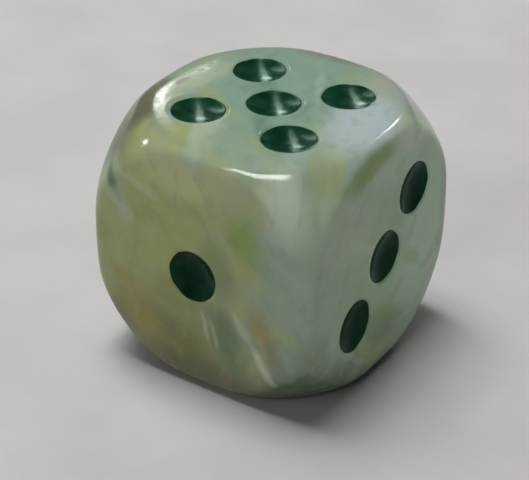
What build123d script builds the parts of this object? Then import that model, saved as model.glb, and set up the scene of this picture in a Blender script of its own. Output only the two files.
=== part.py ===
"""A round-cornered gaming die, 16 mm across its flats, resting on its two with its five on top.

The body is one moulded and tumbled block of marbled resin. Each of its 21 pips is a shallow round cup
pressed into a face, lined with its own film of enamel, and every film is a piece of its own.

Frame: the origin is the middle of the bottom face, +Z is up through the five, the one faces -Y
(front) and the three faces +X (right). Opposite faces add up to seven. Dimensions are millimetres.
"""

import os

from build123d import *

# The block
SIDE = 16.0  # across two opposite flats
BALL_RADIUS = 11.2  # the corners are tumbled back to a ball of this radius about the die's centre
EDGE_RADIUS = 1.0  # rounding of the edges and of the rim of each flat

# The pips
CUP_RADIUS = 1.78  # where a cup's sphere would meet the face, before its rim is softened
CUP_DEPTH = 0.6  # from the face to the bottom of the cup
RIM_RADIUS = 0.25  # softening of the cup's rim
ENAMEL_RADIUS = 1.68  # outer edge of the enamel, just inside the softened rim
ENAMEL_MIDDLE = 0.12  # the enamel pools in the middle of the cup
ENAMEL_EDGE = 0.04  # and thins out towards its edge

# Pip pitches, from the middle of a face
PITCH = 3.2  # the square that the two, three, four and five share
SIX_PITCH = 3.8  # along the six's rows of three, which need more room
ONE_DRIFT = (-0.4, -0.2)  # how far the one's pip sits off the middle of its face, right and up

centre = (0, 0, SIDE / 2)
cup_sphere = (CUP_RADIUS**2 + CUP_DEPTH**2) / (2 * CUP_DEPTH)
cup_sphere_height = cup_sphere - CUP_DEPTH  # of the sphere's centre, above the face


def cup_height(radius):
    """Height of the cup's wall, measured from the face and so negative, at a distance from its axis."""
    return cup_sphere_height - (cup_sphere**2 - radius**2) ** 0.5


def face_plane(outward, up):
    """A plane on one flat, with its normal pointing out of the die and its local Y along up."""
    outward = Vector(*outward)
    return Plane(
        origin=Vector(*centre) + outward * (SIDE / 2),
        x_dir=Vector(*up).cross(outward),
        z_dir=outward,
    )


# Each flat, seen from outside. On the upright flats local Y is up. On the top and the bottom it is
# towards the back.
RIGHT, BACK, UP = (1, 0, 0), (0, 1, 0), (0, 0, 1)
LEFT, FRONT, DOWN = (-1, 0, 0), (0, -1, 0), (0, 0, -1)
FACES = {
    "one": face_plane(FRONT, UP),
    "two": face_plane(DOWN, BACK),
    "three": face_plane(RIGHT, UP),
    "four": face_plane(LEFT, UP),
    "five": face_plane(UP, BACK),
    "six": face_plane(BACK, UP),
}

# Where each face's pips are, in its plane, named as they stand when the die rests on its two.
PIPS = {
    "one": {"centre": ONE_DRIFT},
    "two": {
        "front_right": (-PITCH, -PITCH),
        "back_left": (PITCH, PITCH),
    },
    "three": {
        "upper_back": (PITCH, PITCH),
        "centre": (0, 0),
        "lower_front": (-PITCH, -PITCH),
    },
    "four": {
        "upper_back": (-PITCH, PITCH),
        "upper_front": (PITCH, PITCH),
        "lower_back": (-PITCH, -PITCH),
        "lower_front": (PITCH, -PITCH),
    },
    "five": {
        "back_left": (-PITCH, PITCH),
        "back_right": (PITCH, PITCH),
        "centre": (0, 0),
        "front_left": (-PITCH, -PITCH),
        "front_right": (PITCH, -PITCH),
    },
    "six": {
        "upper_right": (-PITCH, SIX_PITCH),
        "upper_left": (PITCH, SIX_PITCH),
        "middle_right": (-PITCH, 0),
        "middle_left": (PITCH, 0),
        "lower_right": (-PITCH, -SIX_PITCH),
        "lower_left": (PITCH, -SIX_PITCH),
    },
}

# The body: a cube cut back to a ball at its corners, made one edge radius too small all round and
# then grown by that radius, which rounds every edge at once. The cups are cut into it last.
with BuildPart() as body:
    with Locations(centre):
        Box(*[SIDE - 2 * EDGE_RADIUS] * 3)
        Sphere(BALL_RADIUS - EDGE_RADIUS, mode=Mode.INTERSECT)
    offset(amount=EDGE_RADIUS, kind=Kind.ARC)
    for face, plane in FACES.items():
        with Locations(plane):
            with Locations([(u, v, cup_sphere_height) for u, v in PIPS[face].values()]):
                Sphere(cup_sphere, mode=Mode.SUBTRACT)
    rims = [
        edge
        for edge in body.edges().filter_by(GeomType.CIRCLE)
        if abs(edge.radius - CUP_RADIUS) < 1e-6
    ]
    fillet(rims, RIM_RADIUS)
body.part.label = "die_body"

# The enamel's own surface is dished too, on a shallower sphere from its edge to its pool.
enamel_rise = (cup_height(ENAMEL_RADIUS) + ENAMEL_EDGE) - (ENAMEL_MIDDLE - CUP_DEPTH)
enamel_sphere = (ENAMEL_RADIUS**2 + enamel_rise**2) / (2 * enamel_rise)
enamel_sphere_height = enamel_sphere + ENAMEL_MIDDLE - CUP_DEPTH


def enamel(plane, u, v):
    """The film of dried enamel that lines the cup at (u, v) on a flat."""
    with BuildPart(plane) as film:
        with Locations((u, v, 0)):
            Cylinder(ENAMEL_RADIUS, CUP_DEPTH, align=(Align.CENTER, Align.CENTER, Align.MAX))
        with Locations((u, v, cup_sphere_height)):
            Sphere(cup_sphere, mode=Mode.INTERSECT)
        with Locations((u, v, enamel_sphere_height)):
            Sphere(enamel_sphere, mode=Mode.SUBTRACT)
    return film


os.makedirs("parts", exist_ok=True)
export_step(body.part, "parts/die_body.step")
for face, plane in FACES.items():
    for place, (u, v) in PIPS[face].items():
        pip = enamel(plane, u, v)
        pip.part.label = f"pip_{face}_{place}"
        export_step(pip.part, f"parts/{pip.part.label}.step")
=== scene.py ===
"""The looks of a marbled gaming die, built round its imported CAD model.

The body is one mesh: a cube cut back to a ball at its corners, tumbled soft, with a round cup for
every pip. Each pip's enamel is a closed film of its own, lying in its cup. Sizes below are in
millimetres about the die's middle, and meshes are written in metres in the CAD model's frame.
"""

import math

import bpy
import numpy as np
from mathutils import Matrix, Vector
from mathutils.geometry import delaunay_2d_cdt


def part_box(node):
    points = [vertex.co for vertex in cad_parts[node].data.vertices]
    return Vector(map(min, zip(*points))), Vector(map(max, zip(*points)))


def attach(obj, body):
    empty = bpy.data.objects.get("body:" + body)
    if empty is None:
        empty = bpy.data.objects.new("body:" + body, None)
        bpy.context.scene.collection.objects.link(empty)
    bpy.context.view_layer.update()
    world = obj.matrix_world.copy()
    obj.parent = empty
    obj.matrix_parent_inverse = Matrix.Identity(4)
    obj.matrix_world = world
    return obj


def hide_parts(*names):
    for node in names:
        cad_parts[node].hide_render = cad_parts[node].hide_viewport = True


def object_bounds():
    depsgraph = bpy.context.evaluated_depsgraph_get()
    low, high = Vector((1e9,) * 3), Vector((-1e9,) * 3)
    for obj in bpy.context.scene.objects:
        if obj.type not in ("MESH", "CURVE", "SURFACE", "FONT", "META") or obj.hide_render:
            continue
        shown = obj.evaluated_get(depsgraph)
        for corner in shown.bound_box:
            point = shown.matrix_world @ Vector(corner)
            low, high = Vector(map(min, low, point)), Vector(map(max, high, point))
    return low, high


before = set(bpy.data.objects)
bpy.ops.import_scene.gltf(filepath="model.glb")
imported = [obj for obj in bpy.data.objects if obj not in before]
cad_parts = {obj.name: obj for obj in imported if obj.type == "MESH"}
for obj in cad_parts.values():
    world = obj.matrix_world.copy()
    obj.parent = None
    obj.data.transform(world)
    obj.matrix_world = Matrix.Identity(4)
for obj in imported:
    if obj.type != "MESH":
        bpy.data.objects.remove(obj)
cad_low, cad_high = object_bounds()

MM = 0.001  # metres

# The block, as in the CAD model
BALL_RADIUS = 11.2  # the corners' ball, about the die's middle
CUP_DEPTH = 0.6
CUP_RADIUS = 1.78  # where a cup's sphere meets the flat
RIM_SOFTNESS = 0.07  # how far from the flat, up or down, the cup's rim is rounded

# How the block differs from a perfect one after moulding and tumbling
EDGE_POWER = 22  # a cube as a power curve: the higher, the sharper its edges
BALL_POWER = 60  # the same for the line where a flat meets the ball
CROWN = 0.02  # how far a flat falls away by the time it reaches its edge
WAVES = 0.02  # height of the slow waves in the polish
WAVE_COUNT = 9  # plane waves added up, each in a direction of its own
WAVE_LENGTHS = (3.5, 8.0)  # the shortest and the longest of them
WAVE_SEED = 5

# Mesh
GRID_LINES = 97  # across a face of the cube, edge to edge
GRID_GRADING = 0.35  # how much finer the grid is over the rounded edges than in the middle
RIM_GAP = 0.06  # how far the grid stops short of a pip's outermost ring
AROUND = 64  # points round a pip
CUP_RINGS = (0.3, 0.6, 0.9, 1.15, 1.35, 1.5, 1.6, 1.66, 1.7, 1.74, 1.78, 1.82, 1.88)  # radii
SAME_PLACE = 1e-7  # plan points nearer to each other than this are one point
JOIN_DIGITS = 3  # points on two faces are one point when they agree to this many decimals

# The enamel
ENAMEL_MIDDLE = 0.12  # thickness where it pools
ENAMEL_EDGE = 0.045  # thickness just inside its rounded edge
ENAMEL_SUNK = 0.01  # how far its underside lies inside the resin
ENAMEL_WANDER = 0.025  # how far its outline strays from a circle
ENAMEL_LOBES = (2, 3, 5, 9)  # waves round the outline, added up
ENAMEL_SLOPE = 0.02  # the most that a film's surface tilts, as rise over run
ENAMEL_ROUNDING = 16  # the film's edge as a power curve: the higher, the squarer
FILM_SEED = 26  # the first film's, and the rest count up from it
# Rings of a film's mesh, as shares of its outline
ENAMEL_RINGS = (0.1, 0.2, 0.3, 0.4, 0.5, 0.6, 0.7, 0.8, 0.87, 0.92, 0.955, 0.98, 0.994, 1.0)

# A blob of marbling, as shares of its size
MARBLE_CORE = 0.35  # how far out from its middle it is solid
MARBLE_REACH = 1.2  # where it has faded out

# The scratches, and the resin's own streaks
SCRATCH_STRETCH = 14  # how many times as long as wide
SCRATCH_RANGE = (0.66, 0.72)  # the noise is a scratch above this
FLOW = (0.45, -0.6, -0.66)  # the way that the resin ran as it was poured
FLOW_STRETCH = 3

# Where the corners are rubbed, measured from the die's middle: it starts, and it is complete
WEAR_RANGE = (9.9, 11.1)
WEAR_PALENESS = 0.12  # how far a rubbed corner's colour goes over to pale
WEAR_ROUGHNESS = 0.02  # added to the polish where it is rubbed
SCRATCH_ROUGHNESS = 0.06  # added on a scratch

REFRACTION = 1.5  # index of both the resin and the enamel

# Depth of each material's relief
RESIN_RELIEF = 0.004
ENAMEL_RELIEF = 0.02
TABLE_RELIEF = 0.02

# The stage
TABLE_REACH = 1.5  # metres from the middle to each side of the table
LIGHT_DISTANCE = 0.5  # metres from the die's middle
ROOM_STRENGTH = 0.05  # of the even white light from all round
MIRRORED_GREEN = (0.72, 1.0, 0.85)  # colour of what the enamel mirrors, tinted by its cup's walls

# The camera looks down on the front corner, between the one and the three
CAMERA_AZIMUTH = 145.84  # degrees from +Y towards +X
CAMERA_ELEVATION = 31.52
CAMERA_DISTANCE = 109.66
CAMERA_RIGHT = -0.554  # how far it stands to the side of the die's middle
CAMERA_UP = -1.331
SENSOR_WIDTH, FOCAL_LENGTH = 36.0, 121.7
NEAREST_SEEN = 0.01  # metres

half_side = (cad_high.x - cad_low.x) / 2 / MM
middle = (cad_low + cad_high) / 2


# ---- Shape -------------------------------------------------------------------------------------


def waves(points):
    """Slow waves over the polished surface, from -1 to 1, at points in millimetres."""
    rng = np.random.default_rng(WAVE_SEED)
    height = np.zeros(len(points))
    for _ in range(WAVE_COUNT):
        direction = rng.normal(size=3)
        direction *= 2 * math.pi / rng.uniform(*WAVE_LENGTHS) / np.linalg.norm(direction)
        height += np.sin(points @ direction + rng.uniform(0, 2 * math.pi))
    return height / WAVE_COUNT


def block(points):
    """The block's surface along the rays from its middle through the given points."""
    rays = points / np.linalg.norm(points, axis=1, keepdims=True)
    size = np.abs(rays)
    cube = ((size**EDGE_POWER).sum(1)) ** (1 / EDGE_POWER) / half_side
    reach = (cube**BALL_POWER + BALL_RADIUS**-BALL_POWER) ** (-1 / BALL_POWER)
    across = np.sort(np.abs(rays * reach[:, None]), axis=1)[:, :2] / half_side
    fall = CROWN * np.minimum((across**2).sum(1), 1.0)
    surface = rays * reach[:, None]
    return rays * (reach - fall - WAVES * (1 + waves(surface)) / 2)[:, None]


def cup(radius):
    """Height of a cup's wall above the flat, so negative inside it, with its rim rounded."""
    sphere = (CUP_RADIUS**2 + CUP_DEPTH**2) / (2 * CUP_DEPTH)
    wall = sphere - CUP_DEPTH - np.sqrt(sphere**2 - radius**2)
    share = np.clip(0.5 - wall / (2 * RIM_SOFTNESS), 0, 1)
    return wall * share - RIM_SOFTNESS * share * (1 - share)


class Face:
    """One face of the cube: its outward normal, its plan axes, and the pips that lie on it."""

    def __init__(self, axis, side):
        self.normal = side * np.eye(3)[axis]
        self.across = np.eye(3)[(axis + 1) % 3]
        self.along = np.cross(self.normal, self.across)
        self.pips = {}

    def plan(self, point):
        """Where a point lies across and along the face."""
        return np.array([point @ self.across, point @ self.along])

    def place(self, plan, height):
        """Points on the block over plan positions, raised along the normal by height."""
        flat = np.outer(plan[:, 0], self.across) + np.outer(plan[:, 1], self.along)
        return block(flat + half_side * self.normal) + np.outer(height, self.normal)


def find_faces():
    """The six faces, with each pip's plan position and radius taken from its CAD node."""
    faces = [Face(axis, side) for axis in range(3) for side in (-1, 1)]
    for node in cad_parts:
        if not node.startswith("pip_"):
            continue
        low, high = (np.array(corner - middle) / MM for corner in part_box(node))
        face = max(faces, key=lambda f: f.normal @ (low + high))
        face.pips[node] = (face.plan((low + high) / 2), (high - low).max() / 2)
    return faces


# ---- Meshes ------------------------------------------------------------------------------------


def mesh_object(name, points, polygons):
    """A smooth-shaded object of points in millimetres about the middle, without loose points."""
    mesh = bpy.data.meshes.new(name)
    mesh.from_pydata((np.asarray(points) * MM + np.array(middle)).tolist(), [], polygons)
    mesh.validate()
    mesh.shade_smooth()
    piece = bpy.data.objects.new(name, mesh)
    bpy.context.scene.collection.objects.link(piece)
    return piece


def circle(radius):
    """Points round the origin, all at one radius or each at its own."""
    turn = np.arange(AROUND) * 2 * math.pi / AROUND
    return np.column_stack([np.cos(turn), np.sin(turn)]) * np.reshape(radius, (-1, 1))


def ring_band(inner, outer):
    """Quads between two rings of points, given the index of each ring's first point."""
    for k in range(AROUND):
        after = (k + 1) % AROUND
        yield [inner + k, outer + k, outer + after, inner + after]


def face_mesh(face):
    """One face of the block with its cups: its points and its polygons."""
    line = np.linspace(-1, 1, GRID_LINES)
    line = half_side * ((1 + GRID_GRADING) * line - GRID_GRADING * line**3)
    grid = np.array([(u, v) for u in line for v in line])
    for centre, _ in face.pips.values():
        grid = grid[np.linalg.norm(grid - centre, axis=1) > CUP_RINGS[-1] + RIM_GAP]
    rims = [circle(CUP_RINGS[-1]) + centre for centre, _ in face.pips.values()]
    plan = np.vstack([grid, *rims])
    found = delaunay_2d_cdt([Vector(p) for p in plan], [], [], 0, SAME_PLACE)
    plan = np.array([tuple(p) for p in found[0]])
    owner = [sources[0] for sources in found[3]]
    rim_of = [max(-1, (source - len(grid)) // AROUND) for source in owner]
    polygons = [
        list(p)
        for p in found[2]
        if not (rim_of[p[0]] >= 0 and rim_of[p[0]] == rim_of[p[1]] == rim_of[p[2]])
    ]
    plans, heights = [plan], [np.zeros(len(plan))]
    count = len(plan)
    at = {source: index for index, source in enumerate(owner)}
    for number, (centre, _) in enumerate(face.pips.values()):
        first = count
        for radius in CUP_RINGS[:-1]:
            plans.append(circle(radius) + centre)
            heights.append(np.full(AROUND, cup(np.array(radius))))
            count += AROUND
        plans.append(centre[None])
        heights.append(np.array([-CUP_DEPTH]))
        polygons += [[count, first + k, first + (k + 1) % AROUND] for k in range(AROUND)]
        count += 1
        for ring in range(len(CUP_RINGS) - 2):
            polygons += ring_band(first + ring * AROUND, first + (ring + 1) * AROUND)
        last = first + (len(CUP_RINGS) - 2) * AROUND
        outer = [at[len(grid) + number * AROUND + k] for k in range(AROUND)]
        for k in range(AROUND):
            after = (k + 1) % AROUND
            polygons.append([last + k, outer[k], outer[after], last + after])
    return face.place(np.vstack(plans), np.concatenate(heights)), polygons


def make_body(faces):
    """The whole block, its six faces joined along the middle of its rounded edges."""
    points, polygons = [], []
    for face in faces:
        start = len(points)
        face_points, face_polygons = face_mesh(face)
        points.extend(face_points)
        polygons += [[start + index for index in polygon] for polygon in face_polygons]
    keys = {}
    joined, new_index = [], []
    for point in points:
        key = tuple(np.round(point, JOIN_DIGITS))
        if key not in keys:
            keys[key] = len(joined)
            joined.append(point)
        new_index.append(keys[key])
    polygons = [[new_index[index] for index in polygon] for polygon in polygons]
    return mesh_object("resin_body", joined, polygons)


def make_enamel(node, face, centre, radius, seed):
    """The film of dried enamel in one cup: dished above, following the cup's wall below."""
    rng = np.random.default_rng(seed)
    turn = np.arange(AROUND) * 2 * math.pi / AROUND
    outline = np.full(AROUND, radius - ENAMEL_WANDER)
    for lobes in ENAMEL_LOBES:
        outline += ENAMEL_WANDER / 3 * np.sin(lobes * turn + rng.uniform(0, 2 * math.pi))
    slope = rng.uniform(-ENAMEL_SLOPE, ENAMEL_SLOPE, 2)
    plans, heights = [centre[None]], [np.array([ENAMEL_MIDDLE - CUP_DEPTH])]
    for share in ENAMEL_RINGS:
        ring = circle(outline * share)
        film = ENAMEL_EDGE + (ENAMEL_MIDDLE - ENAMEL_EDGE) * (1 - share**2) + ring @ slope
        rounded = math.sqrt(1 - share**ENAMEL_ROUNDING)
        plans.append(ring + centre)
        heights.append(cup(np.linalg.norm(ring, axis=1)) + film * rounded)
    for share in ENAMEL_RINGS[::-2]:
        ring = circle(outline * share)
        plans.append(ring + centre)
        heights.append(cup(np.linalg.norm(ring, axis=1)) - ENAMEL_SUNK)
    plans.append(centre[None])
    heights.append(np.array([-CUP_DEPTH - ENAMEL_SUNK]))
    rings = len(plans) - 2
    last = 1 + rings * AROUND
    polygons = [[0, 1 + k, 1 + (k + 1) % AROUND] for k in range(AROUND)]
    for ring in range(rings - 1):
        polygons += ring_band(1 + ring * AROUND, 1 + (ring + 1) * AROUND)
    under = last - AROUND
    polygons += [[last, under + (k + 1) % AROUND, under + k] for k in range(AROUND)]
    points = face.place(np.vstack(plans), np.concatenate(heights))
    return mesh_object(node.replace("pip_", "enamel_"), points, polygons)


# ---- Materials ---------------------------------------------------------------------------------


def colour(red, green, blue):
    """A screen colour, 0 to 255, as the linear colour that a shader needs."""
    parts = [part / 255 for part in (red, green, blue)]
    return [p / 12.92 if p <= 0.04045 else ((p + 0.055) / 1.055) ** 2.4 for p in parts] + [1.0]


def add(tree, kind, settings=None, **inputs):
    """A new shader node. Inputs are other nodes' sockets or plain values, by the socket's name."""
    node = tree.nodes.new("ShaderNode" + kind)
    for name, value in (settings or {}).items():
        setattr(node, name, value)
    for name, value in inputs.items():
        socket = node.inputs[name.replace("_", " ")]
        if isinstance(value, bpy.types.NodeSocket):
            tree.links.new(value, socket)
        else:
            socket.default_value = value
    return node


def tint(tree, factor, below, above):
    """Two colours mixed by a factor, each a socket or a value."""
    node = tree.nodes.new("ShaderNodeMix")
    node.data_type = "RGBA"
    for index, value in ((0, factor), (6, below), (7, above)):
        if isinstance(value, bpy.types.NodeSocket):
            tree.links.new(value, node.inputs[index])
        else:
            node.inputs[index].default_value = value
    return node.outputs[2]


def ramp(tree, value, start, end, low=0.0, high=1.0):
    """A smooth step of a value: low below start, high above end."""
    node = add(tree, "MapRange", {"interpolation_type": "SMOOTHSTEP"}, Value=value)
    for name, number in (("From Min", start), ("From Max", end), ("To Min", low), ("To Max", high)):
        node.inputs[name].default_value = number
    return node.outputs[0]


def new_material(name):
    """A material, its node tree and its main shader."""
    material = bpy.data.materials.new(name)
    material.use_nodes = True
    return material, material.node_tree, material.node_tree.nodes["Principled BSDF"]


def millimetres(tree):
    """Position in the object, in millimetres about the die's middle."""
    place = add(tree, "TexCoord").outputs["Object"]
    place = add(tree, "VectorMath", {"operation": "SUBTRACT"}, Vector=place)
    place.inputs[1].default_value = middle
    scaled = add(tree, "VectorMath", {"operation": "SCALE"}, Vector=place.outputs[0])
    scaled.inputs["Scale"].default_value = 1 / MM
    return scaled.outputs[0]


# Colours of the resin, as they would look in plain white light, and three that stand for painted light:
# a brown for painted shade, a pale green for painted glow, and a blue grey for a painted reflection of
# the table
RESIN = {
    "base": (126, 139, 115),
    "teal": (118, 143, 127),
    "deep_teal": (94, 122, 107),
    "pale_teal": (134, 156, 141),
    "lavender": (156, 170, 170),
    "milk": (147, 162, 139),
    "cream": (164, 166, 134),
    "sea_green": (138, 165, 140),
    "mist": (128, 147, 126),
    "fern": (124, 150, 117),
    "ash": (140, 146, 140),
    # painted glow: a pale green laid beside highlights
    "painted_glow": (166, 178, 158),
    "straw": (157, 164, 108),
    "olive": (137, 147, 90),
    "sunny_olive": (144, 150, 98),
    "deep_olive": (96, 99, 54),
    "leaf": (104, 126, 52),
    "lime": (112, 138, 60),
    "ochre": (124, 118, 54),
    "sand": (134, 125, 74),
    "moss": (88, 106, 76),
    "dark_moss": (72, 88, 64),
    # painted shade: a brown for where the die lies in its own shade
    "painted_shade_brown": (86, 85, 58),
    "stone": (118, 117, 112),
    # painted reflection of the table top
    "painted_table_reflection": (90, 91, 98),
    "blush": (133, 142, 123),
}

# The marbling, with painted shade, painted glow and a painted reflection of the table among it: blobs
# and streaks of one colour,
# each a long soft ellipsoid. For each one: where its middle is, the direction that it runs, half its
# length, half its width, colour and strength.
MARBLING = [
    # Broad zones
    ((-3.5, -8, 1), (1, 0, 0.1), 9.0, 6.5, "olive", 1.0),
    ((-1.3, 2.0, 8), (0.6, -0.8, 0), 9.5, 6.6, "teal", 1.0),
    ((-3.5, -8, -5), (1, 0, -0.15), 7.0, 3.0, "ochre", 0.75),
    # Painted shade: these two darken the bottom of the one's side and of the front corner
    ((1, -7.5, -7.4), (1, 0.1, 0), 9.0, 2.6, "painted_shade_brown", 0.95),
    ((7, -6.5, -6.8), (0.2, 1, -0.1), 5.5, 2.8, "dark_moss", 0.95),
    ((8, 0.5, 0), (0, 1, 0), 9.0, 6.5, "fern", 1.0),
    ((6.6, -7, 2), (0, 0, 1), 7.0, 2.6, "mist", 0.9),
    ((8, 5, 1), (0, 0.25, 1), 7.5, 3.6, "sea_green", 0.9),
    ((5.6, 0.8, 8), (0.3, -1, 0), 5.4, 2.6, "lavender", 0.95),
    # Painted light: lighter towards the top of the three's side
    ((8, -4.4, 4.2), (0, 1, -0.6), 4.2, 2.6, "milk", 0.6),
    ((7.2, -7.2, -3.8), (0, 0, 1), 3.0, 1.5, "dark_moss", 0.5),
    ((7.5, 7.3, 2), (0, 0, 1), 7.0, 1.1, "moss", 0.6),
    # Painted glow beside the highlight on the top edge of the three's side
    ((7.8, 3.2, 6.9), (0, 1, 0), 3.0, 1.4, "painted_glow", 0.7),
    ((-0.5, -8, -3.6), (1, 0, -0.1), 6.0, 2.2, "moss", 0.35),
    # The five's side
    ((-0.9, -5.4, 8), (0.35, -1, 0), 2.9, 1.1, "milk", 0.95),
    ((-3.4, -1.3, 8), (1, -0.6, 0), 3.8, 0.7, "olive", 0.5),
    # A pale streak, partly marbling and partly painted glow beside the highlight on the top's left edge
    ((-5.8, 0.4, 8), (0.3, 1, 0), 3.4, 1.3, "milk", 0.75),
    ((1.4, -2.9, 8), (1, -1.1, 0), 2.5, 0.8, "deep_teal", 0.8),
    ((-1.4, 1.6, 8), (0.6, -0.9, 0), 2.8, 0.6, "deep_teal", 0.6),
    ((0.9, 3.4, 8), (0.55, -1, 0), 3.6, 0.35, "pale_teal", 0.9),
    # Painted shade: these three darken the top along its left edge and corner
    ((-6.8, -2.4, 7.9), (0.1, 1, 0), 3.0, 0.8, "painted_shade_brown", 0.8),
    ((-6.0, -4.4, 7.8), (0.4, -1, -0.2), 2.2, 0.9, "painted_shade_brown", 1.0),
    ((-6.8, -5.4, 6.5), (0.6, -1, 0), 3.2, 1.8, "painted_shade_brown", 0.9),
    ((-4.2, -7.2, 7.0), (1, -0.1, 0), 2.8, 1.1, "sunny_olive", 0.6),
    ((2.2, -6.2, 8), (1, -0.1, 0), 3.4, 1.3, "mist", 0.85),
    ((5.0, 6.2, 7.6), (1, -0.8, -0.1), 3.4, 1.7, "ash", 0.85),
    ((-0.6, 7.1, 8), (1, 0.05, 0), 3.0, 0.75, "stone", 0.75),
    # The one's side
    ((-1.2, -8, 6.1), (1, 0, 0.15), 3.8, 1.2, "straw", 0.85),
    ((1.5, -8, 4.7), (1, 0, -0.3), 2.4, 1.0, "sunny_olive", 0.5),
    ((3.4, -8, 3.6), (0.5, 0, -1), 2.0, 1.25, "lime", 0.8),
    ((-4.3, -8, 5.0), (1, 0, -0.45), 2.3, 0.42, "cream", 0.5),
    ((-5.7, -7.7, 3.6), (0.45, 0, -1), 2.4, 0.7, "milk", 0.7),
    ((-6.1, -7.8, 4.7), (0.6, -0.35, -1), 2.4, 0.6, "dark_moss", 1.0),
    # Painted shade along the top left edge of the one's side
    ((-7.2, -6.2, 5.6), (0.3, 0.5, -1), 2.0, 1.6, "dark_moss", 0.5),
    # Painted glow beneath the highlight on the top front edge
    ((5.6, -7.4, 6.3), (0.2, 0, -1), 3.0, 1.7, "painted_glow", 0.75),
    # A pale band, partly marbling and partly painted glow beneath the top edge's highlight
    ((0.4, -8, 6.5), (1, 0, -0.05), 5.5, 1.5, "cream", 0.35),
    ((1.5, -8, 0.9), (0.3, 0, -1), 2.6, 1.3, "moss", 0.55),
    ((-5.2, -8, -1.8), (1, 0, -0.3), 2.8, 0.9, "sand", 0.6),
    # Painted shade in the lower left corner of the one's side
    ((-6.8, -7.2, -5.0), (1, -0.5, -0.4), 2.6, 1.6, "painted_shade_brown", 0.8),
    ((-4.1, -8, -4.3), (1, 0, -0.25), 1.9, 1.2, "ochre", 0.9),
    ((-1.3, -8, -4.9), (1, 0, -0.35), 2.2, 1.3, "deep_olive", 0.75),
    ((-1.8, -8, -1.6), (1, 0, -0.4), 2.8, 1.1, "deep_olive", 0.35),
    ((2.0, -8, -3.6), (0.5, 0, -1), 3.0, 1.3, "moss", 0.85),
    ((0.3, -8, -3.3), (0.5, 0, -1), 1.5, 0.2, "cream", 0.5),
    ((1.3, -8, -4.0), (0.62, 0, -1), 1.8, 0.22, "milk", 0.5),
    ((4.6, -7.9, -2.7), (0.45, 0, -1), 2.6, 1.0, "sand", 0.85),
    ((5.7, -8, -4.2), (0.4, 0, -1), 1.8, 0.7, "moss", 0.6),
    ((3.3, -8, -2.8), (0.65, 0, -1), 2.2, 0.38, "cream", 0.75),
    ((4.5, -8, -4.5), (0.62, 0, -1), 2.0, 0.42, "cream", 1.0),
    # The three's side
    ((8, -4.1, 4.6), (0, 1, -0.55), 2.4, 0.5, "blush", 0.45),
    ((8, 0.8, 5.5), (0, 1, -0.2), 3.6, 1.2, "sea_green", 1.0),
    ((8, -2.2, 1.7), (0, 1, -0.75), 2.6, 0.35, "milk", 0.6),
    ((8, 3.2, -1.4), (0, 1, -0.75), 1.9, 0.6, "leaf", 0.4),
    ((8, 0.9, -4.3), (0, 1, -0.6), 2.2, 0.7, "leaf", 0.45),
    # Painted shade: darker towards the bottom of the three's side
    ((8, -0.8, -4.6), (0, 1, -0.4), 3.4, 1.2, "moss", 0.55),
    ((8, 5.8, -2.8), (0, 0.6, -1), 2.2, 0.9, "milk", 0.5),
    ((7.8, -3.6, -5.3), (0, 1, -0.62), 3.0, 0.3, "mist", 0.9),
    # Painted reflection of the table along the bottom edge of the three's side
    ((7.3, -0.5, -7.2), (0, 1, 0.05), 3.2, 0.9, "painted_table_reflection", 0.8),
    ((7.9, -1.9, 6.9), (0, 1, 0.12), 3.0, 0.9, "leaf", 1.0),
    # The sides that face away
    ((-8, 2, 2), (0, 1, 0.5), 6.0, 2.6, "olive", 0.9),
    ((-8, -3, -3), (0, 0.8, -1), 4.0, 1.6, "teal", 0.9),
    ((-8, 1.5, -1.5), (0, 1, -0.5), 4.4, 0.6, "milk", 0.8),
    ((-8, -1, 5.4), (0, 1, 0.2), 4.0, 0.7, "leaf", 0.7),
    ((-7.6, 5.4, -5), (0, 1, 0.4), 3.0, 1.6, "ochre", 0.8),
    ((3, 8, 2), (1, 0, -0.7), 5.5, 2.6, "teal", 0.9),
    ((-4, 8, -3), (1, 0, -0.5), 5.0, 2.2, "olive", 0.9),
    ((0, 8, 1), (1, 0, -0.8), 6.0, 0.5, "lavender", 0.8),
    ((-2.5, 8, 4.6), (1, 0, -0.4), 3.0, 1.3, "sunny_olive", 0.8),
    ((5.6, 8, -4.6), (0.4, 0, -1), 2.8, 1.4, "sea_green", 0.9),
    ((-5.6, 7.8, 1.6), (0.3, 0, -1), 2.6, 0.5, "dark_moss", 0.8),
    ((-2, 1, -8), (1, 0.7, 0), 6.0, 2.4, "olive", 0.9),
    ((3, -3, -8), (1, 1, 0), 5.0, 0.7, "milk", 0.8),
    ((2, 4, -8), (1, -0.4, 0), 4.0, 1.6, "deep_teal", 0.9),
]


def warp(tree, place, scale, reach, detail=2.0):
    """Positions pushed about by a slow noise, by up to about half of reach."""
    noise = add(tree, "TexNoise", Vector=place, Scale=scale, Detail=detail)
    centred = add(tree, "VectorMath", {"operation": "SUBTRACT"}, Vector=noise.outputs["Color"])
    centred.inputs[1].default_value = (0.5, 0.5, 0.5)
    pushed = add(tree, "VectorMath", {"operation": "SCALE"}, Vector=centred.outputs[0])
    pushed.inputs["Scale"].default_value = reach
    moved = tree.nodes.new("ShaderNodeVectorMath")
    tree.links.new(place, moved.inputs[0])
    tree.links.new(pushed.outputs[0], moved.inputs[1])
    return moved.outputs[0]


def drawn_out(tree, place, direction, stretch):
    """Coordinates in which a pattern comes out drawn along a direction, stretch times as long."""
    turn = Vector(direction).to_track_quat("X", "Z").to_euler()
    settings = {"vector_type": "TEXTURE"}
    return add(tree, "Mapping", settings, Vector=place, Rotation=turn, Scale=(stretch, 1, 1)).outputs[0]


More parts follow.
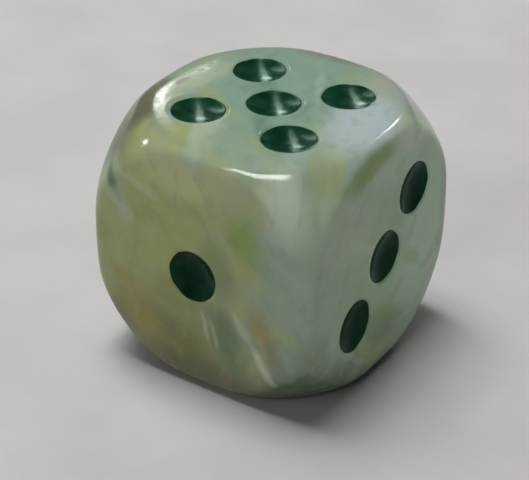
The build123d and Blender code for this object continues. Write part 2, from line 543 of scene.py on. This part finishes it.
def marble(tree, place, below, centre, direction, length, width, name, strength):
    """One soft ellipsoid of colour laid over the colours below it."""
    turn = Vector(direction).to_track_quat("X", "Z").to_euler()
    local = add(
        tree,
        "Mapping",
        {"vector_type": "TEXTURE"},
        Vector=place,
        Location=centre,
        Rotation=turn,
        Scale=(length, width, width),
    )
    reach = add(tree, "VectorMath", {"operation": "LENGTH"}, Vector=local.outputs[0])
    factor = ramp(tree, reach.outputs["Value"], MARBLE_CORE, MARBLE_REACH, strength, 0.0)
    return tint(tree, factor, below, colour(*RESIN[name]))


def scratches(tree, place, direction, scale):
    """Thin faint lines along a direction: 1 on a line, 0 off it."""
    along = drawn_out(tree, place, direction, SCRATCH_STRETCH)
    lines = add(tree, "TexNoise", Vector=along, Scale=scale, Detail=1.0).outputs[0]
    return ramp(tree, lines, *SCRATCH_RANGE)


def weighted_sum(tree, *parts):
    """The sum of values, each given with the weight that it counts with."""
    result = 0.0
    for value, weight in parts:
        node = add(tree, "Math", {"operation": "MULTIPLY_ADD"})
        tree.links.new(value, node.inputs[0])
        node.inputs[1].default_value = weight
        if isinstance(result, float):
            node.inputs[2].default_value = result
        else:
            tree.links.new(result, node.inputs[2])
        result = node.outputs[0]
    return result


def roughen(tree, shader, height, depth):
    """Relief on a surface: height from 0 to 1 stands for this depth in millimetres."""
    relief = add(tree, "Bump", Height=height, Strength=1.0, Distance=depth * MM)
    tree.links.new(relief.outputs[0], shader.inputs["Normal"])


def resin_material():
    """Resin coloured all through by marbling, with painted shade, painted glow and a painted reflection
    of the table laid in among it; polished, with rubbed corners and faint scratches.
    """
    material, tree, shader = new_material("marbled_resin")
    place = millimetres(tree)
    swirled = warp(tree, place, scale=0.25, reach=1.6)
    swirled = warp(tree, swirled, scale=0.8, reach=0.45, detail=1.0)
    base = colour(*RESIN["base"])
    flow = drawn_out(tree, swirled, FLOW, FLOW_STRETCH)
    clouds = add(tree, "TexNoise", Vector=flow, Scale=0.5, Detail=2.0, Distortion=0.3).outputs[0]
    base = tint(tree, ramp(tree, clouds, 0.42, 0.7), base, colour(*RESIN["olive"]))
    base = tint(tree, ramp(tree, clouds, 0.54, 0.3), base, colour(*RESIN["pale_teal"]))
    for spot in MARBLING:
        base = marble(tree, swirled, base, *spot)
    streaks = add(tree, "TexNoise", Vector=flow, Scale=1.0, Detail=2.0, Roughness=0.5).outputs[0]
    light = ramp(tree, streaks, 0.5, 0.75, 0.0, 0.2)
    base = tint(tree, light, base, colour(*RESIN["milk"]))
    dark = ramp(tree, streaks, 0.5, 0.25, 0.0, 0.25)
    base = tint(tree, dark, base, colour(*RESIN["moss"]))
    # The corners have rubbed against the table and other dice, so they are a little paler and duller
    out = add(tree, "VectorMath", {"operation": "LENGTH"}, Vector=place).outputs["Value"]
    wear = ramp(tree, out, *WEAR_RANGE)
    base = tint(tree, weighted_sum(tree, (wear, WEAR_PALENESS)), base, colour(*RESIN["ash"]))
    tree.links.new(base, shader.inputs["Base Color"])
    shader.inputs["IOR"].default_value = REFRACTION
    lines = add(tree, "Math", {"operation": "MAXIMUM"})
    tree.links.new(scratches(tree, place, (0.8, 0.5, 0.3), 2.6), lines.inputs[0])
    tree.links.new(scratches(tree, place, (-0.4, 0.7, 0.6), 2.1), lines.inputs[1])
    grain = add(tree, "TexNoise", Vector=place, Scale=3.0, Detail=4.0).outputs[0]
    smear = ramp(tree, grain, 0.3, 0.75, 0.05, 0.15)
    worn = (wear, WEAR_ROUGHNESS)
    scratched = (lines.outputs[0], SCRATCH_ROUGHNESS)
    rough = weighted_sum(tree, (smear, 1.0), worn, scratched)
    tree.links.new(rough, shader.inputs["Roughness"])
    ripple = add(tree, "TexNoise", Vector=place, Scale=0.9, Detail=1.0).outputs[0]
    height = weighted_sum(tree, (ripple, 1.0), (lines.outputs[0], -0.1), (grain, 0.15))
    roughen(tree, shader, height, RESIN_RELIEF)
    return material


def enamel_material():
    """Dark green enamel, glossy, with thinner and greener places where it drew away as it dried."""
    material, tree, shader = new_material("green_enamel")
    place = millimetres(tree)
    thick = add(tree, "TexNoise", Vector=place, Scale=0.9, Detail=3.0).outputs[0]
    thin_look, thick_look = colour(13, 54, 35), colour(5, 40, 23)
    coat = tint(tree, ramp(tree, thick, 0.35, 0.65), thin_look, thick_look)
    tree.links.new(coat, shader.inputs["Base Color"])
    shader.inputs["Specular IOR Level"].default_value = 0.05
    shader.inputs["IOR"].default_value = REFRACTION
    grain = add(tree, "TexNoise", Vector=place, Scale=5.0, Detail=3.0).outputs[0]
    tree.links.new(ramp(tree, grain, 0.3, 0.7, 0.14, 0.24), shader.inputs["Roughness"])
    roughen(tree, shader, weighted_sum(tree, (thick, 1.0), (grain, 0.12)), ENAMEL_RELIEF)
    return material


def table_material():
    """A pale, faintly mottled, matt table top with a fine tooth."""
    material, tree, shader = new_material("pale_table")
    place = millimetres(tree)
    mottle = add(tree, "TexNoise", Vector=place, Scale=0.12, Detail=4.0).outputs[0]
    darker, paler = (0.525, 0.51, 0.5, 1), (0.565, 0.55, 0.54, 1)
    tree.links.new(tint(tree, ramp(tree, mottle, 0.3, 0.7), darker, paler), shader.inputs["Base Color"])
    shader.inputs["Roughness"].default_value = 0.9
    shader.inputs["Specular IOR Level"].default_value = 0.1
    tooth = add(tree, "TexNoise", Vector=place, Scale=2.0, Detail=3.0).outputs[0]
    roughen(tree, shader, tooth, TABLE_RELIEF)
    return material


# ---- Stage -------------------------------------------------------------------------------------


def make_table():
    """A plain pale table top, wide enough to fill a low view."""
    corners = [(x * TABLE_REACH, y * TABLE_REACH, 0) for x, y in ((-1, -1), (1, -1), (1, 1), (-1, 1))]
    mesh = bpy.data.meshes.new("table_top")
    mesh.from_pydata(corners, [], [(0, 1, 2, 3)])
    table = bpy.data.objects.new("table_top", mesh)
    bpy.context.scene.collection.objects.link(table)
    table.data.materials.append(table_material())


def towards(azimuth, elevation):
    """A direction: azimuth 0 is towards +Y, 90 towards +X."""
    a, e = math.radians(azimuth), math.radians(elevation)
    return Vector((math.sin(a) * math.cos(e), math.cos(a) * math.cos(e), math.sin(e)))


def make_light(name, azimuth, elevation, wide, high, radiance, kind, lit=None, hue=(1, 1, 1)):
    """A soft rectangle facing the die. All its angles are in degrees, as seen from the die.

    A "wash" only lights surfaces. A "gleam" is only mirrored in them. Given pieces to be lit, it
    leaves all others alone.
    """
    data = bpy.data.lights.new(name, "AREA")
    data.shape = "RECTANGLE"
    data.size = 2 * LIGHT_DISTANCE * math.tan(math.radians(wide / 2))
    data.size_y = 2 * LIGHT_DISTANCE * math.tan(math.radians(high / 2))
    data.energy = radiance * math.pi * data.size * data.size_y
    data.color = hue
    light = bpy.data.objects.new(name, data)
    light.location = middle + towards(azimuth, elevation) * LIGHT_DISTANCE
    light.rotation_mode = "QUATERNION"
    light.rotation_quaternion = towards(azimuth, elevation).to_track_quat("Z", "Y")
    light.visible_camera = False
    light.visible_glossy = kind == "gleam"
    light.visible_diffuse = kind == "wash"
    if lit:
        receivers = bpy.data.collections.new(f"lit_by_{name}")
        for piece in lit:
            receivers.objects.link(piece)
        light.light_linking.receiver_collection = receivers
    bpy.context.scene.collection.objects.link(light)


# Each light's name, azimuth, elevation, width, height and radiance
ROOM_LIGHTS = [
    ("ceiling_middle", -90, 84, 20, 14, 12.5),
    ("ceiling_left", -84, 72, 22, 14, 8.8),
    ("ceiling_back", 0, 84, 20, 14, 4.4),
    ("ceiling_side", -80, 60, 20, 14, 3.4),
    ("window_left", -75, 42, 30, 16, 1.7),
    ("window_low", -20, 6, 20, 14, 18.5),
    ("window_mid", -30, 20, 30, 14, 1.0),
    ("room_front", 180, 35, 20, 14, 2.3),
    ("room_left", -140, 20, 20, 14, 2.8),
    ("room_low", -160, 6, 20, 14, 4.5),
]
DIE_FILLS = [
    ("fill_top", -50, 78, 40, 30, 0.85),
    ("fill_right", 95, 25, 40, 30, 2.0),
]
RESIN_FILLS = [
    ("fill_front", 165, 25, 40, 30, 0.95),
]
RESIN_GLEAMS = [
    ("lamp_behind", -40.0, 26.7, 2.2, 3.0, 9.0),
    ("lamp_beside", -37.5, 25.8, 1.6, 0.8, 4.0),
    ("lamp_right", -12.5, 35.5, 5.0, 4.5, 14.0),
    ("lamp_left", -96.5, 20, 4.2, 4.2, 24.0),
    ("tube_end", -150, 48, 3, 14, 14.0),
    ("tube_left", -161, 61.0, 19, 10, 13.0),
    ("tube_right", 154, 61.5, 24, 10, 13.0),
]
ENAMEL_GLEAMS = [
    ("doorway", -39, 22, 5, 30, 17.0),
    ("doorway_top", -40, 55, 7, 36, 22.0),
    ("wall_left", -59, 28, 7, 44, 10.0),
    ("wall_far", -88, 24, 11, 44, 9.5),
    ("wall_right", -4, 30, 16, 46, 0.6),
]


def make_lights(resin, enamel):
    """Soft light all round, then fill for the die alone, then what its polish and enamel mirror."""
    for light in ROOM_LIGHTS:
        make_light(*light, "wash")
    for light in DIE_FILLS:
        make_light(*light, "wash", [resin, *enamel])
    for light in RESIN_FILLS:
        make_light(*light, "wash", [resin])
    for light in RESIN_GLEAMS:
        make_light(*light, "gleam", [resin])
    for light in ENAMEL_GLEAMS:
        make_light(*light, "gleam", enamel, MIRRORED_GREEN)


def light_room():
    """Faint even light from all round, and screen colours shown as they are."""
    world = bpy.data.worlds.new("room")
    world.use_nodes = True
    background = world.node_tree.nodes["Background"]
    background.inputs["Color"].default_value = (1, 1, 1, 1)
    background.inputs["Strength"].default_value = ROOM_STRENGTH
    bpy.context.scene.world = world
    bpy.context.scene.view_settings.view_transform = "Standard"


def make_camera():
    """A long lens held close, with the die a little off the middle of its view."""
    data = bpy.data.cameras.new("camera")
    data.sensor_width, data.lens = SENSOR_WIDTH, FOCAL_LENGTH
    data.clip_start = NEAREST_SEEN
    camera = bpy.data.objects.new("camera", data)
    back = towards(CAMERA_AZIMUTH, CAMERA_ELEVATION)
    camera.rotation_mode = "QUATERNION"
    camera.rotation_quaternion = back.to_track_quat("Z", "Y")
    right = camera.rotation_quaternion @ Vector((1, 0, 0))
    above = camera.rotation_quaternion @ Vector((0, 1, 0))
    offset = back * CAMERA_DISTANCE + right * CAMERA_RIGHT + above * CAMERA_UP
    camera.location = middle + offset * MM
    bpy.context.scene.collection.objects.link(camera)
    bpy.context.scene.camera = camera


# ---- Making ------------------------------------------------------------------------------------

make_camera()
make_table()

faces = find_faces()
body = make_body(faces)
body.data.materials.append(resin_material())
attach(body, "root")
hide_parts("die_body")

films = []
enamel = enamel_material()
for face in faces:
    for node, (centre, radius) in face.pips.items():
        film = make_enamel(node, face, centre, radius, FILM_SEED + len(films))
        film.data.materials.append(enamel)
        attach(film, "root")
        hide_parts(node)
        films.append(film)

make_lights(body, films)
light_room()
